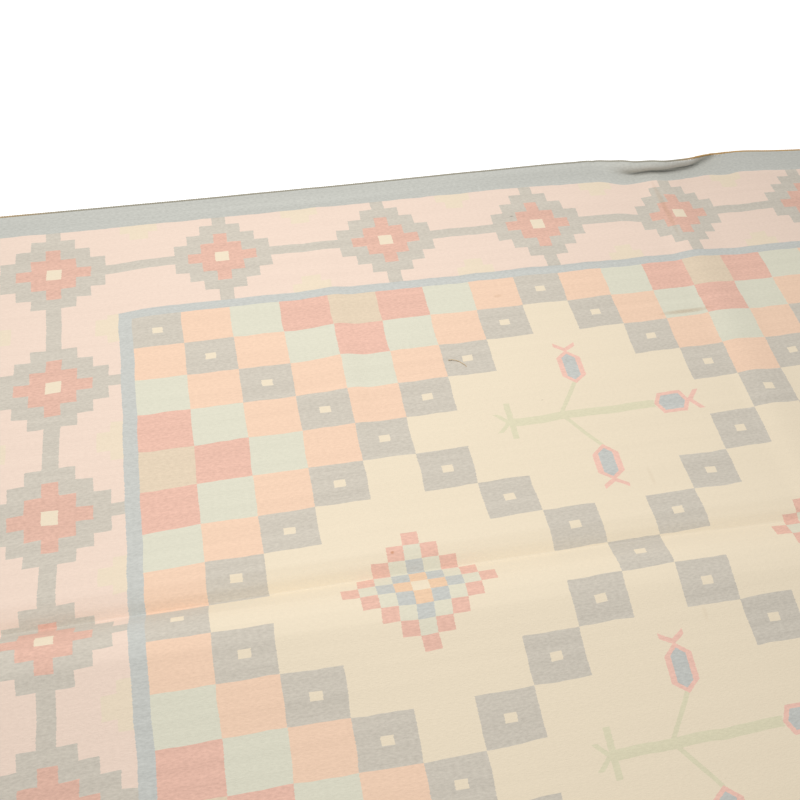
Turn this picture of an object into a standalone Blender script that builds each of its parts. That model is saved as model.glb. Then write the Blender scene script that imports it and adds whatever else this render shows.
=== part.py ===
"""Flat-woven cotton rug, 8 by 5 ft, lying on a floor in the creases it was folded into.

One woven sheet and the two plaited cords that finish its woven ends.
X runs along the wefts and the long side, +Y to the far end, +Z up.
"""
import bpy
import bmesh
import numpy as np

# Woven sizes, metres
CELL_WIDTH = 0.0765            # one check of the field, along X
CELL_HEIGHT = 0.0605           # one check of the field, along Y
COLUMNS = 25
ROWS = 17
SIDE_BORDER = 0.265            # stripe, band and guard outside the field, left and right
END_BORDER = 0.2445            # the same at the far and near ends
THICKNESS = 0.003              # packed cotton wefts over the warps

# Plaited warp ends along each woven end
CORD_WIDTH = 0.0045
CORD_THICKNESS = 0.003
CORD_GAP = 0.0004              # from the cloth's cut end to the cord

HALF_WIDTH = COLUMNS * CELL_WIDTH / 2 + SIDE_BORDER
LENGTH = ROWS * CELL_HEIGHT + 2 * END_BORDER

# Lengthwise crease across the middle, a valley with a standing near side.
# Its course over the cloth, and how strongly it bends there.
# column of the field, row of the field, share of the full bend
VALLEY_COURSE = (
    (-3.46, 7.86, 1.37),
    (0.0, 7.94, 1.42),
    (4.5, 7.97, 1.10),
    (8.5, 8.07, 0.98),
    (12.5, 8.24, 0.82),
    (20.0, 8.36, 0.70),
    (28.46, 8.34, 0.62),
)
# Bend of the cloth beside the valley: length of cloth in metres, slope in degrees
VALLEY_FAR_FLANK = ((0.018, 20), (0.016, 8))
VALLEY_NEAR_FLANK = ((0.034, 37), (0.012, 27), (0.012, 15), (0.012, 6), (0.010, 2))
VALLEY_FAR_TAIL = 0.10         # cloth over which the far side sinks back to the floor
VALLEY_NEAR_TAIL = 0.32
NEAR_HALF_SHIFT = -0.0054      # the near half lies a little to the left of the far half
NEAR_DRAWN_IN = 0.021          # and is drawn in towards one column, as a share of its width
NEAR_DRAWN_COLUMN = 5.5
NEAR_REACH = 0.078             # cloth beyond the valley over which both set in

# Crosswise creases, soft ridges: columns where the ridge starts, peaks and ends
HALF_FOLD = (11.75, 12.35, 13.30)
QUARTER_FOLD = (3.20, 4.05, 4.50)
# How high each ridge stands: row of the field, half fold, quarter fold, metres
RIDGE_HEIGHTS = (
    (-4.1, 0.0050, 0.0005),
    (0.0, 0.0065, 0.0035),
    (2.0, 0.0060, 0.0050),
    (5.0, 0.0050, 0.0025),
    (8.5, 0.0040, 0.0000),
    (17.0, 0.0040, 0.0000),
    (21.1, 0.0030, 0.0000),
)

# Ripple where the half fold meets the far end: the end stands up from a crease and rolls over
# towards the rug.
# column, metres of cloth beyond the crease, share of the full bend
RIPPLE_COURSE = (
    (11.0, 0.027, 0.00),
    (11.4, 0.027, 0.35),
    (11.8, 0.028, 0.85),
    (12.3, 0.027, 1.00),
    (12.9, 0.023, 1.00),
    (13.4, 0.021, 1.00),
    (13.8, 0.013, 0.80),
    (14.2, 0.006, 0.35),
    (14.6, 0.005, 0.00),
)
# Bend inside the crease, away from the end: length of cloth in metres, slope in degrees
RIPPLE_INNER = ((0.004, 16), (0.012, 6))
# Roll beyond the crease, towards the end, and the slope of the strip that is left beyond it
RIPPLE_ROLL = (
    (0.0020, 40), (0.0025, 90), (0.0075, 135), (0.0030, 105), (0.0030, 80), (0.0030, 55),
    (0.0030, 30),
)
RIPPLE_STRIP_SLOPE = 4

# Uneven weaving at the ends: column, how far the far end and the near end stand out
END_BOW = (
    (-3.46, -0.010, 0.000),
    (0.0, -0.007, 0.002),
    (4.0, -0.002, 0.004),
    (8.0, 0.006, 0.002),
    (10.5, 0.009, -0.001),
    (11.0, 0.008, 0.000),
    (11.4, -0.005, 0.000),
    (12.0, -0.006, 0.000),
    (12.6, -0.011, 0.001),
    (13.2, -0.004, 0.001),
    (13.7, 0.001, 0.002),
    (14.1, -0.002, 0.002),
    (14.6, 0.003, 0.002),
    (15.8, -0.003, 0.003),
    (28.46, -0.011, -0.003),
)
# Uneven selvedges: row, how far the left and the right side stand out
SIDE_BOW = (
    (-4.1, 0.003, -0.002),
    (2.0, -0.002, 0.002),
    (8.0, -0.004, 0.003),
    (14.0, 0.002, -0.002),
    (21.1, 0.004, 0.001),
)

# Grid of the sheet: last column of each stretch, and its number of steps
COLUMN_STEPS = (
    (2.6, 5), (3.6, 2), (4.5, 6), (5.4, 2), (11.0, 4), (11.75, 6), (12.4, 5),
    (14.5, 15), (16.0, 2), (28.46, 7),
)
# Rows of the grid: shares of the cloth from the end to the crease, and metres inside the crease
ROLL_SHARES = (0.0, 0.10, 0.20, 0.30, 0.40, 0.48, 0.56, 0.64, 0.72, 0.79, 0.86, 0.93, 1.0)
INSIDE_CREASE_LINES = (0.004, 0.016)
END_BAND_LINES = (0.080, 0.1467, 0.2445)   # metres from the far end
FAR_ROWS = (2.2, 4.4)          # rows of the field with a grid line between the folds
NEAR_ROWS = (14.0, 17.5)
VALLEY_LINES = (
    -0.140, -0.100, -0.070, -0.048, -0.034, -0.018, -0.008, 0.0, 0.007, 0.020, 0.034, 0.046,
    0.058, 0.070, 0.080, 0.110, 0.150, 0.200, 0.270,
)
PATH_STEP = 0.0005             # step of the cloth paths that the grid is read from
VALLEY_REACH = 0.8             # cloth followed to each side of the valley, past both tails
ACROSS_STEPS = 161             # steps that a row's take-up is added over
ANCHOR_ROW = 4.0               # the far half lies still here; folds draw the cloth to it
ANCHOR_COLUMN = 8.0


def column_to_metres(column):
    return (column - COLUMNS / 2) * CELL_WIDTH


def row_to_metres(row):
    """Distance along the cloth from its far end."""
    return END_BORDER + row * CELL_HEIGHT


def smooth_table(table, at, value):
    """Read one column of a table at any place, easing between its rows."""
    keys = np.array([row[0] for row in table])
    values = np.array([row[value] for row in table])
    slopes = np.gradient(values, keys)
    place = np.clip(at, keys[0], keys[-1])
    left = np.clip(np.searchsorted(keys, place, side="right") - 1, 0, len(keys) - 2)
    span = keys[left + 1] - keys[left]
    t = (place - keys[left]) / span
    start = (1 + 2 * t) * (1 - t) ** 2 * values[left] + t * (1 - t) ** 2 * span * slopes[left]
    end = t * t * (3 - 2 * t) * values[left + 1] + t * t * (t - 1) * span * slopes[left + 1]
    return start + end


def bend(stretches, distance):
    """Slope, in degrees, of a run of cloth stretches at a distance from its start."""
    slope = np.zeros_like(distance)
    start = 0.0
    for length, degrees in stretches:
        slope = np.where((distance >= start) & (distance < start + length), degrees, slope)
        start += length
    return slope


def tail(distance, length, height):
    """Height of cloth that sinks back to the floor, steep first and then flat."""
    t = np.clip(distance / length, 0, 1)
    return height * (1 - t) ** 2


def valley_heights(along, column):
    """Height of the cloth on both sides of the lengthwise valley, for one column."""
    course = row_to_metres(smooth_table(VALLEY_COURSE, column, 1))
    share = smooth_table(VALLEY_COURSE, column, 2)
    height = np.zeros_like(along)
    for side, flank, length in (
        (-1, VALLEY_FAR_FLANK, VALLEY_FAR_TAIL),
        (1, VALLEY_NEAR_FLANK, VALLEY_NEAR_TAIL),
    ):
        away = np.arange(0, VALLEY_REACH, PATH_STEP)
        climb = np.cumsum(np.sin(np.radians(share * bend(flank, away)))) * PATH_STEP
        reach = sum(stretch[0] for stretch in flank)
        rise = np.where(away < reach, climb, tail(away - reach, length, climb[-1]))
        distance = side * (along - course)
        height += np.where(distance > 0, np.interp(distance, away, rise), 0)
    return height


def ripple_angles(along, column):
    """Slope of the cloth at the far end, rising outwards, for one column."""
    beyond = smooth_table(RIPPLE_COURSE, column, 1)
    share = smooth_table(RIPPLE_COURSE, column, 2)
    outward = beyond - along
    strip = outward > sum(stretch[0] for stretch in RIPPLE_ROLL)
    outside = np.where(strip, RIPPLE_STRIP_SLOPE, bend(RIPPLE_ROLL, outward))
    return share * np.where(outward > 0, outside, bend(RIPPLE_INNER, -outward))


def ridge(column, fold):
    """Soft asymmetric ridge of height 1 across the columns."""
    start, peak, end = fold
    t = np.where(column < peak, (column - start) / (peak - start), (end - column) / (end - peak))
    t = np.clip(t, 0, 1)
    return t * t * (3 - 2 * t)


def ridge_heights(column, row):
    half = smooth_table(RIDGE_HEIGHTS, row, 1) * ridge(column, HALF_FOLD)
    quarter = smooth_table(RIDGE_HEIGHTS, row, 2) * ridge(column, QUARTER_FOLD)
    return half + np.maximum(quarter, 0)


def lie_of_column(column):
    """Plan position and height of one line of cloth, from the far end to the near end."""
    along = np.arange(0, LENGTH + PATH_STEP / 2, PATH_STEP)
    middle = (along[1:] + along[:-1]) / 2
    rise = np.diff(valley_heights(along, column))
    run = np.sqrt(np.maximum(PATH_STEP ** 2 - rise ** 2, 0))
    lip = np.radians(ripple_angles(middle, column))
    rise = rise - np.sin(lip) * PATH_STEP
    run = np.where(lip != 0, np.cos(lip) * PATH_STEP, run)
    plan = -np.concatenate(([0.0], np.cumsum(run)))
    anchor = row_to_metres(ANCHOR_ROW)
    plan += LENGTH / 2 - anchor - np.interp(anchor, along, plan)
    height = np.concatenate(([0.0], np.cumsum(rise)))
    height -= height[-1]
    far_share = np.clip(1 - along / END_BORDER, 0, 1)
    near_share = np.clip(1 - (LENGTH - along) / END_BORDER, 0, 1)
    plan += far_share * smooth_table(END_BOW, column, 1)
    plan -= near_share * smooth_table(END_BOW, column, 2)
    return along, plan, height


def row_lines(column):
    """Rows of the grid for one column: close together at the roll and beside the valley."""
    beyond = float(smooth_table(RIPPLE_COURSE, column, 1))
    course = float(row_to_metres(smooth_table(VALLEY_COURSE, column, 1)))
    roll = [beyond * share for share in ROLL_SHARES]
    inside = [beyond + offset for offset in INSIDE_CREASE_LINES]
    plain = list(END_BAND_LINES) + [row_to_metres(row) for row in FAR_ROWS]
    valley = [course + offset for offset in VALLEY_LINES]
    near = [row_to_metres(row) for row in NEAR_ROWS] + [LENGTH]
    return np.array(roll + inside + plain + valley + near)


def column_lines():
    """Columns of the grid: close together at the crosswise creases."""
    lines = [column_of_side(-1)]
    for end, steps in COLUMN_STEPS:
        start = lines[-1]
        lines += [start + (end - start) * step / steps for step in range(1, steps + 1)]
    return lines


def column_of_side(side):
    return COLUMNS / 2 + side * HALF_WIDTH / CELL_WIDTH


def middle_surface():
    """Points halfway through the cloth, one list from far to near for each column line."""
    sheet = []
    for column in column_lines():
        along, plan, height = lie_of_column(column)
        places = row_lines(column)
        row = (places - END_BORDER) / CELL_HEIGHT
        x = place_across(column, row)
        y = np.interp(places, along, plan)
        z = np.interp(places, along, height) + ridge_heights(column, row) + THICKNESS / 2
        sheet.append(np.stack([x, y, z], axis=1))
    return np.array(sheet)


def place_across(column, row):
    """Plan position across the rug: the ridges draw the cloth in, the selvedges wander."""
    lines = np.linspace(ANCHOR_COLUMN, column, ACROSS_STEPS)[:, None]
    step = (column - ANCHOR_COLUMN) * CELL_WIDTH / (ACROSS_STEPS - 1)
    rise = np.diff(ridge_heights(lines, row), axis=0)
    run = np.sqrt(step ** 2 - np.minimum(rise ** 2, step ** 2))
    place = column_to_metres(ANCHOR_COLUMN) + np.sign(step) * run.sum(axis=0)
    beyond_valley = (row - smooth_table(VALLEY_COURSE, column, 1)) * CELL_HEIGHT
    near_share = np.clip(beyond_valley / NEAR_REACH, 0, 1)
    drawn_in = NEAR_DRAWN_IN * (column - NEAR_DRAWN_COLUMN) * CELL_WIDTH
    place += near_share * (NEAR_HALF_SHIFT - drawn_in)
    left_share = np.clip(1 - (column_to_metres(column) + HALF_WIDTH) / SIDE_BORDER, 0, 1)
    right_share = np.clip(1 - (HALF_WIDTH - column_to_metres(column)) / SIDE_BORDER, 0, 1)
    place -= left_share * smooth_table(SIDE_BOW, row, 1)
    place += right_share * smooth_table(SIDE_BOW, row, 2)
    return place


def surface_normals(sheet):
    across = np.gradient(sheet, axis=0)
    down = np.gradient(sheet, axis=1)
    normal = np.cross(down, across)
    return normal / np.linalg.norm(normal, axis=2, keepdims=True)


def material(name, colour, roughness):
    made = bpy.data.materials.new(name)
    made.use_nodes = True
    shader = made.node_tree.nodes["Principled BSDF"]
    shader.inputs["Base Color"].default_value = (*colour, 1)
    shader.inputs["Roughness"].default_value = roughness
    shader.inputs["Metallic"].default_value = 0
    return made


def add_object(name, mesh, made_of):
    mesh.materials.append(made_of)
    piece = bpy.data.objects.new(name, mesh)
    bpy.context.collection.objects.link(piece)
    return piece


def woven_sheet(sheet, normals):
    """The cloth: its face, its back and the narrow rim between them."""
    mesh = bpy.data.meshes.new("rug")
    form = bmesh.new()
    face = [[form.verts.new(p) for p in line] for line in sheet + normals * THICKNESS / 2]
    back = [[form.verts.new(p) for p in line] for line in sheet - normals * THICKNESS / 2]
    columns, rows = sheet.shape[:2]
    for i in range(columns - 1):
        for j in range(rows - 1):
            form.faces.new((face[i][j], face[i][j + 1], face[i + 1][j + 1], face[i + 1][j]))
            form.faces.new((back[i][j], back[i + 1][j], back[i + 1][j + 1], back[i][j + 1]))
    for i in range(columns - 1):
        for j, turn in ((0, 1), (rows - 1, -1)):
            rim = (face[i][j], face[i + 1][j], back[i + 1][j], back[i][j])
            form.faces.new(rim[::turn])
    for j in range(rows - 1):
        for i, turn in ((0, -1), (columns - 1, 1)):
            rim = (face[i][j], face[i][j + 1], back[i][j + 1], back[i][j])
            form.faces.new(rim[::turn])
    bmesh.ops.triangulate(form, faces=form.faces)
    form.to_mesh(mesh)
    form.free()
    return mesh


def end_cord(edge, outward, normals, name):
    """A plaited cord beside one woven end, as a six-sided bar that follows it."""
    half = CORD_WIDTH / 2
    thick = CORD_THICKNESS / 2
    section = ((half, 0), (half / 2, thick), (-half / 2, thick),
               (-half, 0), (-half / 2, -thick), (half / 2, -thick))
    mesh = bpy.data.meshes.new(name)
    form = bmesh.new()
    rings = []
    for point, out, normal in zip(edge, outward, normals):
        centre = point + out * (CORD_GAP + half)
        rings.append([form.verts.new(centre + out * a + normal * b) for a, b in section])
    for ring, following in zip(rings, rings[1:]):
        for k in range(len(section)):
            other = (k + 1) % len(section)
            form.faces.new((ring[k], ring[other], following[other], following[k]))
    form.faces.new(rings[0][::-1])
    form.faces.new(rings[-1])
    bmesh.ops.recalc_face_normals(form, faces=form.faces)
    bmesh.ops.triangulate(form, faces=form.faces)
    form.to_mesh(mesh)
    form.free()
    return mesh


def edge_directions(sheet, line, inner):
    """Directions that lead off the cloth at one end, level with it."""
    outward = sheet[:, line] - sheet[:, inner]
    outward[:, 0] = 0
    return outward / np.linalg.norm(outward, axis=1, keepdims=True)


def stand_on_origin(pieces):
    """Centre the rug over the origin with its underside on the floor."""
    corners = np.array([vertex.co for piece in pieces for vertex in piece.data.vertices])
    low = corners.min(axis=0)
    high = corners.max(axis=0)
    shift = (-(low[0] + high[0]) / 2, -(low[1] + high[1]) / 2, 0)
    for piece in pieces:
        for vertex in piece.data.vertices:
            vertex.co.x += shift[0]
            vertex.co.y += shift[1]


def main():
    for old in list(bpy.data.objects):
        bpy.data.objects.remove(old, do_unlink=True)
    cotton = material("woven cotton", (0.82, 0.72, 0.60), 0.9)
    warp_cord = material("plaited cotton warps", (0.56, 0.40, 0.22), 0.9)

    sheet = middle_surface()
    normals = surface_normals(sheet)
    pieces = [add_object("rug", woven_sheet(sheet, normals), cotton)]
    for name, line, inner in (("end_cord_far", 0, 1), ("end_cord_near", -1, -2)):
        outward = edge_directions(sheet, line, inner)
        level = np.cross(outward, np.array([1.0, 0, 0])) * (-1 if line == 0 else 1)
        mesh = end_cord(sheet[:, line], outward, level, name)
        pieces.append(add_object(name, mesh, warp_cord))
    stand_on_origin(pieces)


main()
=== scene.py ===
"""Flat-woven cotton rug, 8 by 5 ft, lying in the creases it was folded into.

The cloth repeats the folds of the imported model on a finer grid. Each point of it knows its place
in the weaving, as a column and a row of the field's checks, and the pattern is drawn from that.
"""
import math

import bpy
import numpy as np
from mathutils import Matrix


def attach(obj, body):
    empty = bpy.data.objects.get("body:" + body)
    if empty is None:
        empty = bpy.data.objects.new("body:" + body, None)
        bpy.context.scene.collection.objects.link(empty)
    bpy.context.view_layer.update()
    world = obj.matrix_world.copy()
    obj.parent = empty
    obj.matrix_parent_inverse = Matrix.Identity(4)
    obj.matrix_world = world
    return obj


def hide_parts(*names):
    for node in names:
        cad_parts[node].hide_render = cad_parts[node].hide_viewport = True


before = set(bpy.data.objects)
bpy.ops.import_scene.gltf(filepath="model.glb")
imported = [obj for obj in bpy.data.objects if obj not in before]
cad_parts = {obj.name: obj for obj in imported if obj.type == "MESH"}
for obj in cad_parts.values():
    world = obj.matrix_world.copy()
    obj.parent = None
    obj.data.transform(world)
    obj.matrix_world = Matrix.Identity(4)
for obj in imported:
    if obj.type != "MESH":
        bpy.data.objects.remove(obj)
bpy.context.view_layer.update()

# Woven sizes, metres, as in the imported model
CELL_WIDTH = 0.0765
CELL_HEIGHT = 0.0605
COLUMNS = 25
ROWS = 17
SIDE_BORDER = 0.265
END_BORDER = 0.2445
THICKNESS = 0.003
CORD_WIDTH = 0.0045
CORD_THICKNESS = 0.003
HALF_WIDTH = COLUMNS * CELL_WIDTH / 2 + SIDE_BORDER
LENGTH = ROWS * CELL_HEIGHT + 2 * END_BORDER
RUG_SHIFT = (0.000219, -0.00587)     # from the field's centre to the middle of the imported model

# Folds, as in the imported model: column, row, share of the full bend
VALLEY_COURSE = (
    (-3.46, 7.86, 1.37),
    (0.0, 7.94, 1.42),
    (4.5, 7.97, 1.10),
    (8.5, 8.07, 0.98),
    (12.5, 8.24, 0.82),
    (20.0, 8.36, 0.70),
    (28.46, 8.34, 0.62),
)
# Cloth on both sides of the valley: metres of each stretch, and its slope in degrees
VALLEY_FAR_FLANK = ((0.018, 20), (0.016, 8))
VALLEY_NEAR_FLANK = ((0.034, 37), (0.012, 27), (0.012, 15), (0.012, 6), (0.010, 2))
VALLEY_FAR_TAIL = 0.10               # cloth over which the far flank sinks back to the floor
VALLEY_NEAR_TAIL = 0.32
VALLEY_REACH = 0.8                   # cloth on each side for which the valley is worked out
NEAR_HALF_SHIFT = -0.0054            # how far the near half lies to the right
NEAR_DRAWN_IN = 0.021                # share by which the near half is drawn together
NEAR_DRAWN_COLUMN = 5.5              # column towards which it is drawn
NEAR_REACH = 0.078                   # cloth over which both begin, past the valley
# Crosswise creases: columns where the ridge starts, peaks and ends
HALF_FOLD = (11.75, 12.35, 13.30)
QUARTER_FOLD = (3.20, 4.05, 4.50)
# row, half fold, quarter fold, metres
RIDGE_HEIGHTS = (
    (-4.1, 0.0050, 0.0005),
    (0.0, 0.0065, 0.0035),
    (2.0, 0.0060, 0.0050),
    (5.0, 0.0050, 0.0025),
    (8.5, 0.0040, 0.0000),
    (17.0, 0.0040, 0.0000),
    (21.1, 0.0030, 0.0000),
)
# column, metres of cloth beyond the crease, share of the full bend
RIPPLE_COURSE = (
    (11.0, 0.027, 0.00),
    (11.4, 0.027, 0.35),
    (11.8, 0.028, 0.85),
    (12.3, 0.027, 1.00),
    (12.9, 0.023, 1.00),
    (13.4, 0.021, 1.00),
    (13.8, 0.013, 0.80),
    (14.2, 0.006, 0.35),
    (14.6, 0.005, 0.00),
)
# Cloth inside the ripple's crease and rolled over outside it: metres of each stretch, and its slope
RIPPLE_INNER = ((0.004, 16), (0.012, 6))
RIPPLE_ROLL = (
    (0.0020, 40), (0.0025, 90), (0.0075, 135), (0.0030, 105), (0.0030, 80), (0.0030, 55),
    (0.0030, 30),
)
RIPPLE_STRIP_SLOPE = 4               # degrees, of the cloth left over beyond the roll
# column, how far the far end and the near end stand out, metres
END_BOW = (
    (-3.46, -0.010, 0.000),
    (0.0, -0.007, 0.002),
    (4.0, -0.002, 0.004),
    (8.0, 0.006, 0.002),
    (10.5, 0.009, -0.001),
    (11.0, 0.008, 0.000),
    (11.4, -0.005, 0.000),
    (12.0, -0.006, 0.000),
    (12.6, -0.011, 0.001),
    (13.2, -0.004, 0.001),
    (13.7, 0.001, 0.002),
    (14.1, -0.002, 0.002),
    (14.6, 0.003, 0.002),
    (15.8, -0.003, 0.003),
    (28.46, -0.011, -0.003),
)
# row, how far the left and the right selvedge stand out, metres
SIDE_BOW = (
    (-4.1, 0.003, -0.002),
    (2.0, -0.002, 0.002),
    (8.0, -0.004, 0.003),
    (14.0, 0.002, -0.002),
    (21.1, 0.004, 0.001),
)
PATH_STEP = 0.0005                   # cloth between two points of a line that is worked out
ACROSS_STEPS = 81
ANCHOR_ROW = 4.0                     # row and column that the folds don't move
ANCHOR_COLUMN = 8.0

# Finer grid of the visible cloth: last column of each stretch, and its number of steps
COLUMN_STEPS = ((3.1, 32), (4.7, 16), (10.7, 30), (14.6, 64), (28.46, 68))
BEND_RADIUS = 0.0012                 # cloth over which a crease turns
LOOSE_HEIGHT = 0.0006                # how far the cloth lies off the floor where it is slack
# Slack waves: wavelength along X and Y in metres, and phase
LOOSE_WAVES = ((0.31, 0.17, 0.4), (0.19, 0.41, 2.1), (0.55, 0.26, 4.4))
# Cloth from the valley's crease to the end of each stretch of rows, and its number of steps
VALLEY_ROWS = ((-0.050, 32), (-0.015, 9), (0.034, 24), (0.082, 16))
ROLL_ROWS = 44
INNER_ROWS = (0.016, 10)             # cloth inside the ripple's crease, and its number of steps
END_BAND_ROWS = 18
NEAR_HALF_ROWS = 57

# Places in the weaving, in columns and rows of the field
STRIPE_SIDE = 0.26
STRIPE_END = 0.27
GUARD_SIDE = 2.74
GUARD_END = 3.27
BAND_MIDDLE_SIDE = -1.50
BAND_MIDDLE_END = -1.83
MEDALLION_PITCH_ALONG = 3.5          # columns between the medallions of an end border
MEDALLION_PITCH_DOWN = 3.39          # rows between the medallions of a side border
SIDE_MEDALLION_START = -1.67
SIDE_MEDALLION_BOW = 0.20            # rows that the weaver drifted between the corner and the middle
BOW_MEDALLIONS = 3                   # medallions over which that drift comes and goes
BORDER_UNIT = (0.29, 0.329)          # one step of a border medallion
FIELD_UNIT = (0.297, 0.327)          # one step of a field medallion
LATTICE_PITCH = 8
LATTICE_SPOT = (0.105, 0.09)         # half size of the cream spot in a lattice check
MIDDLE_COLUMN = COLUMNS // 2         # the field's middle check
MIDDLE_ROW = ROWS // 2
SAME_COUNT = 0.4                     # two counts of whole steps that are closer than this are the same
# Rings of the field's patterns, from the middle outwards
HALF_DIAMOND_RINGS = ("tan", "coral", "mint", "peach")
SMALL_MEDALLION = ("cream", "medallion_peach", "bud_blue", "medallion_mint", "coral")
# Border medallion and the bars that join it to the next: half width and half height, in steps
BORDER_SLATE = ((3.5, 1.5), (2.5, 2.5), (1.5, 3.5), (0.5, 9.0), (9.0, 0.46))
BORDER_CORAL = ((1.5, 1.5), (0.5, 2.5), (2.5, 0.5))
BORDER_HEART = (0.5, 0.5)
# Faint half diamonds at the band's edges: half width and depth of each step
END_HALF_DIAMONDS = ((0.40, 0.28), (0.20, 0.53))
SIDE_HALF_DIAMONDS = ((0.50, 0.22), (0.25, 0.45))
PAST_CORNER = 1.0                    # column after which the inner ones of an end border begin

# Bud spray, in columns and rows from the corner of the diamond's middle check.
# Straight stretch: half length, half height, middle
STEM = (1.48, 0.105, (0.48, 0.535))
CROSS_BAR = (0.06, 0.495, (-1.03, 0.485))
# Two lines that open from a point: their slope, reach and half height
CHEVRON_POINT = (-1.08, 0.52)
CHEVRON = (0.85, 0.26, 0.055)
FORK_ROW = 0.50
BRANCHES = (0.59, 0.97, 0.050)
# Bud: middle, whether it stands upright, half length and half width of the outline and the heart,
# and how far its shoulders slope
BUDS = (
    ((0.55, -0.85), True, (0.515, 0.250), (0.405, 0.140), 0.95),
    ((2.33, 0.54), False, (0.380, 0.290), (0.283, 0.205), 0.45),
    ((0.58, 1.95), True, (0.505, 0.262), (0.395, 0.142), 0.95),
)
# Whiskers at a bud's tip: their meeting point, which way they open, and how far
WHISKERS = (
    ((0.55, -1.38), "up", 0.23),
    ((2.72, 0.53), "right", 0.27),
    ((0.57, 2.44), "down", 0.24),
)
WHISKER_SLOPE = 0.75
WHISKER_HALF = 0.060

# The weaver's count wandered: column, checks to add across at the far rows and at the near rows
COUNT_ACROSS = (
    (-3.5, 0.00, 0.00),
    (-1.2, -0.03, 0.04),
    (0.0, -0.02, 0.00),
    (1.5, 0.05, 0.01),
    (3.5, 0.04, 0.01),
    (7.0, -0.01, 0.00),
    (10.5, -0.03, 0.01),
    (12.0, 0.02, 0.03),
    (14.4, 0.10, 0.03),
    (17.0, 0.00, 0.00),
)
# Row, checks to add down: over the whole cloth, more in the left border, more towards the right
COUNT_DOWN = (
    (-4.1, -0.03, 0.00, -0.02),
    (-3.2, 0.00, -0.02, -0.08),
    (-2.0, -0.02, -0.08, -0.07),
    (-1.0, -0.03, -0.12, -0.05),
    (0.0, -0.01, -0.12, -0.02),
    (2.0, 0.01, 0.00, 0.00),
    (4.0, 0.00, 0.02, 0.00),
    (6.3, -0.03, -0.08, -0.06),
    (7.3, 0.02, -0.06, -0.05),
    (8.3, 0.00, -0.03, 0.01),
    (11.0, 0.00, 0.00, 0.00),
)
NEAR_ROW_BLEND = (1.0, 4.0)          # row where the near rows' count starts, and over how much
LEFT_BORDER_BLEND = (0.3, 0.6)       # column where the border's own count ends, and over how much
FAR_RIGHT_BLEND = (8.5, 2.0)         # column where the far right's own count starts, and over how much

# Photograph's view: the lens from the field's centre, and the directions of its picture
LENS_PLACE = (-0.81068, -0.37826, 1.08042)
PICTURE_RIGHT = (0.97571, -0.20294, 0.08255)
PICTURE_DOWN = (-0.12531, -0.82601, -0.54955)
LENS_LOOK = (0.17971, 0.52586, -0.83137)
FOCAL_PIXELS = 875.52
PICTURE_PIXELS = 800
SENSOR = 36.0
NEAREST_SEEN = 0.01                  # metres from the lens

# Dyed cotton yarns, stain colours and one painted shade, sRGB
YARNS = {
    "cream": "F3E4CA",
    "tan": "E8D5BB",
    "coral": "EEC1AE",
    "mint": "E3E0CC",
    "peach": "F7D5BA",
    "slate": "D3CBBD",
    "stripe_blue": "CDCEC8",
    "guard_grey": "C9C9C1",
    "border_pink": "F4DDCC",
    "medallion_coral": "E8BDAA",
    "pale_yellow": "F1E0C7",
    "bud_pink": "F6CAB9",
    "bud_blue": "CBCCC6",
    "stem_green": "E5DEBF",
    "medallion_peach": "F2CFAE",
    "medallion_mint": "E6E0CA",
    "ochre": "D2AE74",
    "faded_ochre": "B4AF9E",
    "straw": "D8BF98",
    "stain_brown": "B98F66",
    "rust": "C8834F",
    "stain_grey": "8F857A",
    # Painted shade, not a yarn: the dark pinch under the far ripple
    "painted_crease_shade": "6C6D6D",
}
WHITE = "FFFFFF"

# Grain of the yarn and of the joints between colours, metres along the weft and along the warp
JOINT_TEETH = (0.080, 0.0022)
JOINT_WAVES = (0.060, 0.200)
JOINT_LEAN = (0.300, 0.050)
SLUBS = (0.006, 0.0024)
DYE_BATCHES = (0.500, 0.012)
PICKS = (0.005, 0.0011)
# How far a joint wanders, in columns or rows
TEETH_REACH = 0.014
LEAN_REACH = 0.030
WAVE_REACH = 0.045
# How uneven the dye looks: none at this paleness, more in deeper dye, and a least amount
PALEST_DYE = 0.80
DEEP_DYE_SHARE = 1.25
LEAST_UNEVEN = 0.05
BATCH_SHARE = 0.5                    # of the batches of dye, beside the slubs
WARP_SPACING = 0.0032
RIB_SHARE = 0.08                     # of the ribs in the relief, beside the picks and slubs
PLY_GRAINS = 900.0                   # grooves between plies, per metre
PLY_GROOVE_PAINTED_SHADE = (0.35, 0.82)              # painted shade in the grooves between plies: how much paler a ply is than a groove, and a groove's tone
# Relief: how strongly it shades, and its depth in metres
WEAVE_RELIEF = (0.35, 0.0006)
PLY_RELIEF = (0.4, 0.0002)
# How matt the surfaces are: cotton scatters light and hardly shines
WEAVE_ROUGHNESS = 0.92
YARN_ROUGHNESS = 0.9
COTTON_SHINE = 0.15
FUZZ = (0.08, 0.6)                   # pale sheen of the loose fibres, and its roughness
FLOOR_ROUGHNESS = 0.95

# Plait along a woven end, metres
STRAND_RADIUS = 0.00080
PLAIT_PITCH = 0.012
PLAIT_STEP = 0.0013
PLAIT_SIDES = 6
PLAIT_LIFT = 0.0006                  # the plait lies this much above the middle of the cloth
PLAIT_GAP = 0.0001                   # between the cloth's end and the plait
# How much of its ochre dye the plait has kept: column, share
PLAIT_DYE = ((-3.46, 0.6), (-2.2, 0.45), (-1.2, 0.0), (12.9, 0.0), (13.5, 0.9), (28.46, 0.6))
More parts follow.
